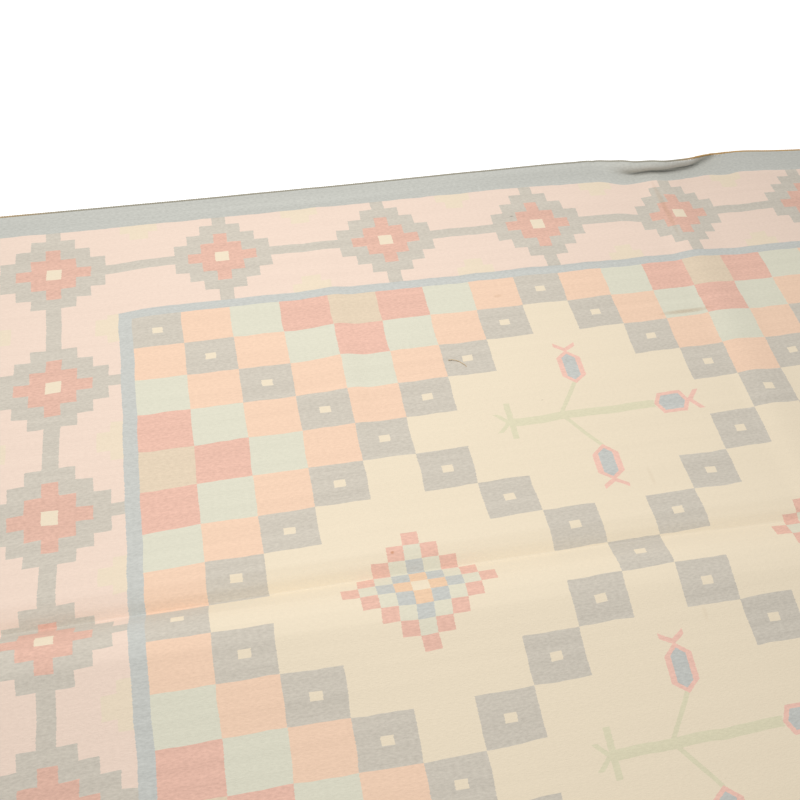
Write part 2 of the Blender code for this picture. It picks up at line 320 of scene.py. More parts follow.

# Small marks on the cloth, real stains and two lines of painted shade: column, row, half width, half
# height, colour, strength
MARKS = (
    (8.463, -2.197, 0.060, 0.030, "stain_grey", 0.60),
    (4.158, 7.479, 0.040, 0.040, "rust", 0.60),
    (7.535, 0.601, 0.110, 0.060, "stain_brown", 0.22),
    (11.52, 1.830, 0.720, 0.085, "stain_brown", 0.36),
    (7.722, 4.020, 0.030, 0.015, "stain_grey", 0.35),
    (9.290, 6.500, 0.050, 0.330, "stain_brown", 0.07),
    (9.265, 10.18, 0.050, 0.220, "stain_brown", 0.07),
    (6.150, 2.520, 0.060, 0.020, "stain_grey", 0.55),
    (12.22, -2.100, 0.080, 1.300, "stain_brown", 0.24),
    # Painted shade: dark lines along the pinch under the far ripple, where the rolled lip's own shadow
    # falls
    (12.40, -3.660, 0.900, 0.045, "painted_crease_shade", 0.50),
    (13.30, -3.750, 0.450, 0.045, "painted_crease_shade", 0.50),
)
THREAD_RADIUS = 0.00045
THREAD_SIDES = 8
# The pulled warp end that lies on a lattice check: column, row, height above the cloth
LOOSE_THREAD = (
    (6.10, 2.50, 0.0004),
    (6.17, 2.51, 0.0016),
    (6.24, 2.54, 0.0018),
    (6.31, 2.58, 0.0008),
    (6.36, 2.64, 0.0005),
    (6.40, 2.70, 0.0009),
    (6.43, 2.76, 0.0005),
)

# Studio, metres from the middle of the rug
FLOOR_REACH = 12.0
FLOOR_GLOW = 0.40                    # keeps the floor white under soft light
ROOM_LIGHT = 0.45
SOFT_BOX_PLACE = (-0.78, 0.60, 1.75)
SOFT_BOX_AIM = (-0.65, 0.12, 0.0)
SOFT_BOX_SIZE = 1.2
SOFT_BOX_WATTS = 20.4


def column_to_metres(column):
    """Distance across the cloth from its middle."""
    return (column - COLUMNS / 2) * CELL_WIDTH


def row_to_metres(row):
    """Distance along the cloth from its far end."""
    return END_BORDER + row * CELL_HEIGHT


def smooth_table(table, at, value):
    """Read one column of a table at any place, easing between its rows."""
    keys = np.array([row[0] for row in table])
    values = np.array([row[value] for row in table])
    slopes = np.gradient(values, keys)
    place = np.clip(at, keys[0], keys[-1])
    left = np.clip(np.searchsorted(keys, place, side="right") - 1, 0, len(keys) - 2)
    span = keys[left + 1] - keys[left]
    t = (place - keys[left]) / span
    start = (1 + 2 * t) * (1 - t) ** 2 * values[left] + t * (1 - t) ** 2 * span * slopes[left]
    end = t * t * (3 - 2 * t) * values[left + 1] + t * t * (t - 1) * span * slopes[left + 1]
    return start + end


def bend(stretches, distance):
    """Slope, in degrees, of a run of cloth stretches at a distance from its start."""
    slope = np.zeros_like(distance)
    start = 0.0
    for length, degrees in stretches:
        slope = np.where((distance >= start) & (distance < start + length), degrees, slope)
        start += length
    return slope


def tail(distance, length, height):
    """Height of cloth that sinks back to the floor, steep first and then flat."""
    t = np.clip(distance / length, 0, 1)
    return height * (1 - t) ** 2


def valley_heights(along, column):
    """Height of the cloth on both sides of the lengthwise valley, for one column."""
    course = row_to_metres(smooth_table(VALLEY_COURSE, column, 1))
    share = smooth_table(VALLEY_COURSE, column, 2)
    height = np.zeros_like(along)
    for side, flank, length in (
        (-1, VALLEY_FAR_FLANK, VALLEY_FAR_TAIL),
        (1, VALLEY_NEAR_FLANK, VALLEY_NEAR_TAIL),
    ):
        away = np.arange(0, VALLEY_REACH, PATH_STEP)
        climb = np.cumsum(np.sin(np.radians(share * bend(flank, away)))) * PATH_STEP
        reach = sum(stretch[0] for stretch in flank)
        rise = np.where(away < reach, climb, tail(away - reach, length, climb[-1]))
        distance = side * (along - course)
        height += np.where(distance > 0, np.interp(distance, away, rise), 0)
    return height


def ripple_angles(along, column):
    """Slope of the cloth at the far end, rising outwards, for one column."""
    beyond = smooth_table(RIPPLE_COURSE, column, 1)
    share = smooth_table(RIPPLE_COURSE, column, 2)
    outward = beyond - along
    strip = outward > sum(stretch[0] for stretch in RIPPLE_ROLL)
    outside = np.where(strip, RIPPLE_STRIP_SLOPE, bend(RIPPLE_ROLL, outward))
    return share * np.where(outward > 0, outside, bend(RIPPLE_INNER, -outward))


def ridge(column, fold):
    """Soft asymmetric ridge of height 1 across the columns."""
    start, peak, end = fold
    t = np.where(column < peak, (column - start) / (peak - start), (end - column) / (end - peak))
    t = np.clip(t, 0, 1)
    return t * t * (3 - 2 * t)


def ridge_heights(column, row):
    """Height of the two crosswise creases."""
    half = smooth_table(RIDGE_HEIGHTS, row, 1) * ridge(column, HALF_FOLD)
    quarter = smooth_table(RIDGE_HEIGHTS, row, 2) * ridge(column, QUARTER_FOLD)
    return half + np.maximum(quarter, 0)


def soften(values, width):
    """Round the corners of a path: a moving average over a width of cloth, in two passes."""
    reach = max(1, round(width / PATH_STEP))
    window = np.ones(2 * reach + 1) / (2 * reach + 1)
    for _ in range(2):
        padded = np.pad(values, reach, mode="edge")
        values = np.convolve(padded, window, mode="valid")
    return values


def lie_of_column(column):
    """Plan position and height of one line of cloth, from the far end to the near end."""
    along = np.arange(0, LENGTH + PATH_STEP / 2, PATH_STEP)
    middle = (along[1:] + along[:-1]) / 2
    climb = np.clip(np.diff(valley_heights(along, column)) / PATH_STEP, -1, 1)
    slope = soften(np.arcsin(climb) - np.radians(ripple_angles(middle, column)), BEND_RADIUS)
    plan = -np.concatenate(([0.0], np.cumsum(np.cos(slope) * PATH_STEP)))
    anchor = row_to_metres(ANCHOR_ROW)
    plan += LENGTH / 2 - anchor - np.interp(anchor, along, plan)
    height = np.concatenate(([0.0], np.cumsum(np.sin(slope) * PATH_STEP)))
    height -= height[-1]
    far_share = np.clip(1 - along / END_BORDER, 0, 1)
    near_share = np.clip(1 - (LENGTH - along) / END_BORDER, 0, 1)
    plan += far_share * smooth_table(END_BOW, column, 1)
    plan -= near_share * smooth_table(END_BOW, column, 2)
    return along, plan, height


def place_across(column, row):
    """Plan position across the rug: the ridges draw the cloth in, the selvedges wander."""
    lines = np.linspace(ANCHOR_COLUMN, column, ACROSS_STEPS)[:, None]
    step = (column - ANCHOR_COLUMN) * CELL_WIDTH / (ACROSS_STEPS - 1)
    rise = np.diff(ridge_heights(lines, row), axis=0)
    run = np.sqrt(step ** 2 - np.minimum(rise ** 2, step ** 2))
    place = column_to_metres(ANCHOR_COLUMN) + np.sign(step) * run.sum(axis=0)
    beyond_valley = (row - smooth_table(VALLEY_COURSE, column, 1)) * CELL_HEIGHT
    near_share = np.clip(beyond_valley / NEAR_REACH, 0, 1)
    drawn_in = NEAR_DRAWN_IN * (column - NEAR_DRAWN_COLUMN) * CELL_WIDTH
    place += near_share * (NEAR_HALF_SHIFT - drawn_in)
    left_share = np.clip(1 - (column_to_metres(column) + HALF_WIDTH) / SIDE_BORDER, 0, 1)
    right_share = np.clip(1 - (HALF_WIDTH - column_to_metres(column)) / SIDE_BORDER, 0, 1)
    place -= left_share * smooth_table(SIDE_BOW, row, 1)
    place += right_share * smooth_table(SIDE_BOW, row, 2)
    return place


def column_lines():
    """Columns of the grid: close together at the crosswise creases and the ripple."""
    lines = [COLUMNS / 2 - HALF_WIDTH / CELL_WIDTH]
    for end, steps in COLUMN_STEPS:
        start = lines[-1]
        lines += [start + (end - start) * step / steps for step in range(1, steps + 1)]
    return lines


def row_lines(column):
    """Distances along the cloth: under 1 mm apart at the roll, and 2 mm apart beside the valley."""
    beyond = float(smooth_table(RIPPLE_COURSE, column, 1))
    course = float(row_to_metres(smooth_table(VALLEY_COURSE, column, 1)))
    stretches = [(beyond, ROLL_ROWS), (beyond + INNER_ROWS[0], INNER_ROWS[1])]
    stretches.append((END_BORDER, END_BAND_ROWS))
    stretches += [(course + past, steps) for past, steps in VALLEY_ROWS]
    stretches.append((LENGTH, NEAR_HALF_ROWS))
    lines = [0.0]
    for end, steps in stretches:
        start = lines[-1]
        lines += [start + (end - start) * step / steps for step in range(1, steps + 1)]
    return np.array(lines)


def woven_place(column, row):
    """The place in the pattern that lies at a column and rows of the cloth."""
    left = np.clip((LEFT_BORDER_BLEND[0] - column) / LEFT_BORDER_BLEND[1], 0, 1)
    right = np.clip((column - FAR_RIGHT_BLEND[0]) / FAR_RIGHT_BLEND[1], 0, 1)
    down = smooth_table(COUNT_DOWN, row, 1) + left * smooth_table(COUNT_DOWN, row, 2)
    down = down + right * smooth_table(COUNT_DOWN, row, 3)
    near = np.clip((row - NEAR_ROW_BLEND[0]) / NEAR_ROW_BLEND[1], 0, 1)
    far_shift, near_shift = (smooth_table(COUNT_ACROSS, column, k) for k in (1, 2))
    return column + far_shift * (1 - near) + near_shift * near, row + down


def slack(x, y):
    """Height of the slack cloth above the floor, never below it."""
    height = 0.0
    for long, deep, phase in LOOSE_WAVES:
        height = height + np.sin(math.tau * (x / long + y / deep) + phase)
    return LOOSE_HEIGHT * np.clip(height / len(LOOSE_WAVES), 0, 1)


def middle_surface():
    """Points halfway through the cloth, and the place of each in the weaving."""
    points = []
    places = []
    for column in column_lines():
        along, plan, height = lie_of_column(column)
        down = row_lines(column)
        row = (down - END_BORDER) / CELL_HEIGHT
        woven_column, woven_row = woven_place(column, row)
        x = place_across(column, row) + RUG_SHIFT[0]
        y = np.interp(down, along, plan) + RUG_SHIFT[1]
        z = np.interp(down, along, height) + ridge_heights(column, row) + THICKNESS / 2
        points.append(np.stack([x, y, z + slack(x, y)], axis=1))
        places.append(np.stack([woven_column, woven_row], axis=1))
    return np.array(points), np.array(places)


def surface_normals(points):
    """Which way the cloth's face looks at each point."""
    across = np.gradient(points, axis=0)
    down = np.gradient(points, axis=1)
    normal = np.cross(down, across)
    return normal / np.linalg.norm(normal, axis=2, keepdims=True)


def add_piece(name, vertices, faces, layer_name=None, places=None):
    """A smooth piece, with a named layer of places for its material where one is given."""
    mesh = bpy.data.meshes.new(name)
    mesh.from_pydata(vertices, [], faces)
    if places is not None:
        layer = mesh.uv_layers.new(name=layer_name)
        corners = np.empty(len(mesh.loops), dtype=np.int32)
        mesh.loops.foreach_get("vertex_index", corners)
        layer.data.foreach_set("uv", places[corners].astype(np.float32).ravel())
    mesh.shade_smooth()
    piece = bpy.data.objects.new(name, mesh)
    bpy.context.scene.collection.objects.link(piece)
    return piece


def woven_sheet(points, places):
    """The cloth: its face, its back and the narrow rim between them."""
    columns, rows = points.shape[:2]
    lift = surface_normals(points) * THICKNESS / 2
    count = columns * rows
    vertices = np.concatenate([(points + lift).reshape(-1, 3), (points - lift).reshape(-1, 3)])
    index = np.arange(count).reshape(columns, rows)
    a, b, c, d = index[:-1, :-1], index[:-1, 1:], index[1:, 1:], index[1:, :-1]
    faces = np.stack([a, b, c, d], axis=-1).reshape(-1, 4).tolist()
    faces += (np.stack([a, d, c, b], axis=-1).reshape(-1, 4) + count).tolist()
    rim = list(index[:, 0][::-1]) + list(index[0, 1:]) + list(index[1:, -1]) + list(index[-1, ::-1][1:])
    for here, there in zip(rim, rim[1:]):
        faces.append((int(here), int(here) + count, int(there) + count, int(there)))
    both = np.concatenate([places.reshape(-1, 2)] * 2)
    return add_piece("woven_cloth", vertices.tolist(), faces, "place in the weaving", both)


def tube(path, radius, sides):
    """Vertices and faces of a thread that follows a path, closed at both ends."""
    heading = np.gradient(path, axis=0)
    heading /= np.linalg.norm(heading, axis=1, keepdims=True)
    beside = np.cross(heading, (0.0, 0.0, 1.0))
    beside /= np.linalg.norm(beside, axis=1, keepdims=True)
    above = np.cross(beside, heading)
    turns = np.arange(sides) * math.tau / sides
    rings = (path[:, None] + radius * (np.cos(turns)[None, :, None] * beside[:, None]
                                       + np.sin(turns)[None, :, None] * above[:, None]))
    faces = []
    for ring in range(len(path) - 1):
        for side in range(sides):
            other = (side + 1) % sides
            here = ring * sides
            faces.append((here + side, here + other, here + sides + other, here + sides + side))
    last = (len(path) - 1) * sides
    faces.append(tuple(range(sides))[::-1])
    faces.append(tuple(range(last, last + sides)))
    return rings.reshape(-1, 3), faces


def plaited_cord(name, edge, outward, columns):
    """Three strands of warp ends, plaited along one woven end of the cloth."""
    travelled = np.concatenate(([0.0], np.cumsum(np.linalg.norm(np.diff(edge, axis=0), axis=1))))
    places = np.arange(0, travelled[-1], PLAIT_STEP)
    line = np.stack([np.interp(places, travelled, edge[:, k]) for k in range(3)], axis=1)
    out = np.stack([np.interp(places, travelled, outward[:, k]) for k in range(3)], axis=1)
    heading = np.gradient(line, axis=0)
    up = np.cross(heading, out)
    up /= np.linalg.norm(up, axis=1, keepdims=True)
    up *= np.sign(up[:, 2:].mean())
    line = line + out * (PLAIT_GAP + CORD_WIDTH / 2) + up * PLAIT_LIFT
    dye = smooth_table(PLAIT_DYE, np.interp(places, travelled, columns), 1)
    swing = CORD_WIDTH / 2 - STRAND_RADIUS
    lift = CORD_THICKNESS / 2 - STRAND_RADIUS
    vertices = []
    faces = []
    for strand in range(3):
        turn = math.tau * (places / PLAIT_PITCH + strand / 3)
        path = line + out * swing * np.sin(turn)[:, None] + up * lift * np.sin(2 * turn)[:, None]
        ring, around = tube(path, STRAND_RADIUS, PLAIT_SIDES)
        start = sum(len(v) for v in vertices)
        vertices.append(ring)
        faces += [tuple(corner + start for corner in face) for face in around]
    kept = np.repeat(np.tile(dye, 3), PLAIT_SIDES)
    return add_piece(name, np.concatenate(vertices).tolist(), faces, "dye kept",
                     np.stack([kept, np.zeros_like(kept)], axis=1))


def surface_point(points, places, column, row, height):
    """A point above the cloth's face at a place in the weaving."""
    line = int(np.abs(places[:, 0, 0] - column).argmin())
    spot = np.array([np.interp(row, places[line, :, 1], points[line, :, k]) for k in range(3)])
    spot[0] += (column - places[line, 0, 0]) * CELL_WIDTH
    spot[2] += THICKNESS / 2 + height
    return spot


def linear(hex_colour):
    """sRGB hex to the linear colour that the shader wants."""
    parts = [int(hex_colour[k:k + 2], 16) / 255 for k in (0, 2, 4)]
    return [p / 12.92 if p <= 0.04045 else ((p + 0.055) / 1.055) ** 2.4 for p in parts] + [1.0]


def add(tree, kind, *inputs, **settings):
    """Add one node with its settings and links, and give its first output."""
    made = tree.nodes.new("ShaderNode" + kind)
    for name, value in settings.items():
        setattr(made, name, value)
    for socket, value in zip(made.inputs, inputs):
        if isinstance(value, bpy.types.NodeSocket):
            tree.links.new(value, socket)
        elif value is not None:
            socket.default_value = value
    return made.outputs[0]


def block(tree, across, along, half_width, half_height, middle=(0.0, 0.0)):
    """1 inside a woven rectangle, 0 outside it."""
    wide = add(tree, "Math", across, middle[0], half_width, operation="COMPARE")
    high = add(tree, "Math", along, middle[1], half_height, operation="COMPARE")
    return add(tree, "Math", wide, high, operation="MULTIPLY")


def any_of(tree, areas):
    """1 where any of the areas is 1, and the largest where they hold other numbers."""
    whole = areas[0]
    for area in areas[1:]:
        whole = add(tree, "Math", whole, area, operation="MAXIMUM")
    return whole


def vee(tree, along, across, slope, reach, half):
    """1 on two woven lines that open from a point, where along leads out of it."""
    spread = add(tree, "Math", across, operation="ABSOLUTE")
    arms = add(tree, "Math", spread, slope, operation="MULTIPLY")
    near = add(tree, "Math", along, arms, half, operation="COMPARE")
    short = add(tree, "Math", spread, 0.0, reach, operation="COMPARE")
    return add(tree, "Math", near, short, operation="MULTIPLY")


def hexagon(tree, long, short, half_length, half_width, point):
    """1 inside a bud: straight sides, and a point at both ends."""
    side = add(tree, "Math", short, operation="ABSOLUTE")
    end = add(tree, "Math", long, operation="ABSOLUTE")
    shoulder = add(tree, "Math", side, point, end, operation="MULTIPLY_ADD")
    inside = add(tree, "Math", shoulder, half_length, operation="LESS_THAN")
    narrow = add(tree, "Math", side, half_width, operation="LESS_THAN")
    return add(tree, "Math", inside, narrow, operation="MULTIPLY")


def lay(tree, cloth, yarn, where):
    """Weave a yarn into the cloth's colour where the area is 1."""
    return add(tree, "MixRGB", where, cloth, linear(YARNS[yarn]))


def diamond_places(tree, column, row):
    """For each check: how far it is from its diamond's middle check, and which check that is."""
    i = add(tree, "Math", column, operation="FLOOR")
    j = add(tree, "Math", row, operation="FLOOR")
    half = LATTICE_PITCH / 2
    slants = []
    for operation in ("ADD", "SUBTRACT"):
        slant = add(tree, "Math", i, j, operation=operation)
        slant = add(tree, "Math", slant, half, operation="SUBTRACT")
        slants.append(add(tree, "Math", slant, half, -half, operation="WRAP"))
    rising, falling = slants
    steps = any_of(tree, [add(tree, "Math", s, operation="ABSOLUTE") for s in slants])
    right = add(tree, "Math", add(tree, "Math", rising, falling, operation="ADD"), 0.5,
                operation="MULTIPLY")
    down = add(tree, "Math", add(tree, "Math", rising, falling, operation="SUBTRACT"), 0.5,
               operation="MULTIPLY")
    middle = (add(tree, "Math", i, right, operation="SUBTRACT"),
              add(tree, "Math", j, down, operation="SUBTRACT"))
    return (i, j), steps, middle


def field_pattern(tree, column, row):
    """Lattice of spotted checks, stepped half diamonds at the edges, and motifs between."""
    (i, j), steps, (middle_column, middle_row) = diamond_places(tree, column, row)
    from_middle = add(tree, "Math", middle_column, MIDDLE_COLUMN, operation="SUBTRACT")
    at_side = add(tree, "Math", from_middle, operation="ABSOLUTE")
    from_middle = add(tree, "Math", middle_row, MIDDLE_ROW, operation="SUBTRACT")
    at_end = add(tree, "Math", from_middle, operation="ABSOLUTE")
    edge = any_of(tree, [add(tree, "Math", at_side, MIDDLE_COLUMN - 1, operation="GREATER_THAN"),
                         add(tree, "Math", at_end, MIDDLE_ROW - 1, operation="GREATER_THAN")])
    inner = add(tree, "Math", 1.0, edge, operation="SUBTRACT")
    cloth = linear(YARNS["cream"])
    for count, yarn in enumerate(HALF_DIAMOND_RINGS):
        step = add(tree, "Math", steps, count, SAME_COUNT, operation="COMPARE")
        cloth = lay(tree, cloth, yarn, add(tree, "Math", step, edge, operation="MULTIPLY"))
    lattice = add(tree, "Math", steps, len(HALF_DIAMOND_RINGS) - 0.5, operation="GREATER_THAN")
    cloth = lay(tree, cloth, "slate", lattice)
    in_column = add(tree, "Math", column, i, operation="SUBTRACT")
    in_row = add(tree, "Math", row, j, operation="SUBTRACT")
    spot = block(tree, in_column, in_row, *LATTICE_SPOT, middle=(0.5, 0.5))
    spot = add(tree, "Math", spot, lattice, operation="MULTIPLY")
    cloth = lay(tree, cloth, "cream", spot)

    across = add(tree, "Math", column, middle_column, operation="SUBTRACT")
    along = add(tree, "Math", row, middle_row, operation="SUBTRACT")
    open_ground = add(tree, "Math", inner, lattice, operation="SUBTRACT")
    open_ground = add(tree, "Math", open_ground, 0.5, operation="GREATER_THAN")
    has_medallion = add(tree, "Math", middle_row, MIDDLE_ROW, SAME_COUNT, operation="COMPARE")
    medallion = add(tree, "Math", has_medallion, open_ground, operation="MULTIPLY")
    sprays = add(tree, "Math", open_ground, medallion, operation="SUBTRACT")
    cloth = field_medallion(tree, cloth, across, along, medallion)
    return bud_spray(tree, cloth, across, along, sprays)


def field_medallion(tree, cloth, across, along, where):
    """Small stepped medallion: rings of one yarn each, counted in steps from its middle."""
    counts = []
    for place, unit in ((across, FIELD_UNIT[0]), (along, FIELD_UNIT[1])):
        centred = add(tree, "Math", place, 0.5, operation="SUBTRACT")
        units = add(tree, "Math", centred, unit, operation="DIVIDE")
        whole = add(tree, "Math", units, operation="ROUND")
        counts.append(add(tree, "Math", whole, operation="ABSOLUTE"))
    ring = add(tree, "Math", *counts, operation="ADD")
    for count, yarn in enumerate(SMALL_MEDALLION):
        here = add(tree, "Math", ring, count, SAME_COUNT, operation="COMPARE")
        cloth = lay(tree, cloth, yarn, add(tree, "Math", here, where, operation="MULTIPLY"))
    return cloth


def bud_spray(tree, cloth, across, along, where):
    """Stem with a cross bar, two branches, three buds and their whiskers."""
    past_tail = add(tree, "Math", CHEVRON_POINT[0], across, operation="SUBTRACT")
    beside_tail = add(tree, "Math", along, CHEVRON_POINT[1], operation="SUBTRACT")
    beside_fork = add(tree, "Math", along, FORK_ROW, operation="SUBTRACT")
    green = any_of(tree, [
        block(tree, across, along, *STEM),
        block(tree, across, along, *CROSS_BAR),
        vee(tree, past_tail, beside_tail, *CHEVRON),
        vee(tree, across, beside_fork, *BRANCHES),
    ])
    pinks = []
    hearts = []
    for (x, y), upright, outline, heart, shoulder in BUDS:
        right = add(tree, "Math", across, x, operation="SUBTRACT")
        down = add(tree, "Math", along, y, operation="SUBTRACT")
        long, short = (down, right) if upright else (right, down)
        pinks.append(hexagon(tree, long, short, outline[0], outline[1], shoulder))
        hearts.append(hexagon(tree, long, short, heart[0], heart[1], shoulder))
    for (x, y), direction, reach in WHISKERS:
        right = add(tree, "Math", across, x, operation="SUBTRACT")
        down = add(tree, "Math", along, y, operation="SUBTRACT")
        up = add(tree, "Math", y, along, operation="SUBTRACT")
        lead, aside = {"up": (up, right), "right": (right, down), "down": (down, right)}[direction]
        pinks.append(vee(tree, lead, aside, WHISKER_SLOPE, reach, WHISKER_HALF))
    for yarn, areas in (("stem_green", [green]), ("bud_pink", pinks), ("bud_blue", hearts)):
        area = any_of(tree, areas)
        cloth = lay(tree, cloth, yarn, add(tree, "Math", area, where, operation="MULTIPLY"))
    return cloth


def border_pattern(tree, column, row):
    """Guard, medallion band and stripe, drawn for the far left quarter of the rug."""
    across = add(tree, "Math", column, BAND_MIDDLE_SIDE, operation="SUBTRACT")
    half = MEDALLION_PITCH_ALONG / 2
    across = add(tree, "Math", across, half, -half, operation="WRAP")
    turn = add(tree, "Math", row, SIDE_MEDALLION_START, operation="SUBTRACT")
    half_turn = math.pi / (BOW_MEDALLIONS * MEDALLION_PITCH_DOWN)
    drift = add(tree, "Math", add(tree, "Math", turn, half_turn, operation="MULTIPLY"),
                operation="SINE")
    drift = add(tree, "Math", drift, SIDE_MEDALLION_BOW, operation="MULTIPLY")
    down = add(tree, "Math", turn, drift, operation="SUBTRACT")
    half = MEDALLION_PITCH_DOWN / 2
    down = add(tree, "Math", down, half, -half, operation="WRAP")
    in_end = add(tree, "Math", row, -STRIPE_END, operation="LESS_THAN")
    end_down = add(tree, "Math", row, BAND_MIDDLE_END, operation="SUBTRACT")
    down = add(tree, "Mix", in_end, None, down, end_down)

    c = add(tree, "Math", across, BORDER_UNIT[0], operation="DIVIDE")
    r = add(tree, "Math", down, BORDER_UNIT[1], operation="DIVIDE")
    slate = any_of(tree, [block(tree, c, r, *size) for size in BORDER_SLATE])
    coral = any_of(tree, [block(tree, c, r, *size) for size in BORDER_CORAL])
    cloth = linear(YARNS["border_pink"])
    cloth = lay(tree, cloth, "pale_yellow", half_diamonds(tree, column, row, across, down, in_end))
    cloth = lay(tree, cloth, "slate", slate)
    cloth = lay(tree, cloth, "medallion_coral", coral)
    cloth = lay(tree, cloth, "cream", block(tree, c, r, *BORDER_HEART))
    guard = any_of(tree, [add(tree, "Math", column, -GUARD_SIDE, operation="LESS_THAN"),
                          add(tree, "Math", row, -GUARD_END, operation="LESS_THAN")])
    cloth = lay(tree, cloth, "guard_grey", guard)
    in_band = any_of(tree, [add(tree, "Math", column, -STRIPE_SIDE, operation="LESS_THAN"), in_end])
    stripe = add(tree, "Math", 1.0, in_band, operation="SUBTRACT")
    return lay(tree, cloth, "stripe_blue", stripe)


def half_diamonds(tree, column, row, across, down, in_end):
    """Faint stepped half diamonds, midway between the medallions on both edges of the band."""
    spread = add(tree, "Math", across, operation="ABSOLUTE")
    between = add(tree, "Math", MEDALLION_PITCH_ALONG / 2, spread, operation="SUBTRACT")
    areas = []
    past_corner = add(tree, "Math", column, PAST_CORNER, operation="GREATER_THAN")
    for wide, deep in END_HALF_DIAMONDS:
        narrow = add(tree, "Math", between, wide, operation="LESS_THAN")
        outer = add(tree, "Math", row, deep - GUARD_END, operation="LESS_THAN")
        inner = add(tree, "Math", row, -STRIPE_END - deep, operation="GREATER_THAN")
        inner = add(tree, "Math", inner, past_corner, operation="MULTIPLY")
        rows = any_of(tree, [outer, inner])
        rows = add(tree, "Math", rows, in_end, operation="MULTIPLY")
        areas.append(add(tree, "Math", narrow, rows, operation="MULTIPLY"))
    height = add(tree, "Math", down, operation="ABSOLUTE")
    between = add(tree, "Math", MEDALLION_PITCH_DOWN / 2, height, operation="SUBTRACT")
    in_side = add(tree, "Math", 1.0, in_end, operation="SUBTRACT")
    for tall, deep in SIDE_HALF_DIAMONDS:
        narrow = add(tree, "Math", between, tall, operation="LESS_THAN")
        outer = add(tree, "Math", column, deep - GUARD_SIDE, operation="LESS_THAN")
        inner = add(tree, "Math", column, -STRIPE_SIDE - deep, operation="GREATER_THAN")
        columns = any_of(tree, [outer, inner])
        columns = add(tree, "Math", columns, in_side, operation="MULTIPLY")
        areas.append(add(tree, "Math", narrow, columns, operation="MULTIPLY"))
    return any_of(tree, areas)


def yarn_noise(tree, across, along, length, height, detail):
    """Uneven yarn, with grains of a length along the weft and a height along the warp, metres."""
    x = add(tree, "Math", across, length, operation="DIVIDE")
    y = add(tree, "Math", along, height, operation="DIVIDE")
    place = add(tree, "CombineXYZ", x, y, 0.0)
    return add(tree, "TexNoise", place, None, 1.0, detail, noise_dimensions="2D")


def wandering(tree, place, noise, reach):
    """Move a place in the weaving by up to a reach, as the weaver's hand did."""
    centred = add(tree, "Math", noise, 0.5, operation="SUBTRACT")
    return add(tree, "Math", centred, 2 * reach, place, operation="MULTIPLY_ADD")


def mirrored(tree, place, count):
    """The same distance from the nearer edge, counted from the far left."""
    middle = count / 2
    away = add(tree, "Math", add(tree, "Math", place, middle, operation="SUBTRACT"),
               operation="ABSOLUTE")
    return add(tree, "Math", middle, away, operation="SUBTRACT")


def stains_and_painted_shade(tree, cloth, column, row):
    """Soft spots of dirt, a dark slub or two, and painted shade along the pinch under the ripple."""
    for x, y, wide, high, yarn, strength in MARKS:
        right = add(tree, "Math", add(tree, "Math", column, x, operation="SUBTRACT"), wide,
                    operation="DIVIDE")
        down = add(tree, "Math", add(tree, "Math", row, y, operation="SUBTRACT"), high,
                   operation="DIVIDE")
        away = add(tree, "Math", add(tree, "Math", right, 2.0, operation="POWER"),
                   add(tree, "Math", down, 2.0, operation="POWER"), operation="ADD")
        inside = add(tree, "Math", 1.0, away, operation="SUBTRACT", use_clamp=True)
        where = add(tree, "Math", inside, strength, operation="MULTIPLY")
        cloth = lay(tree, cloth, yarn, where)
    return cloth


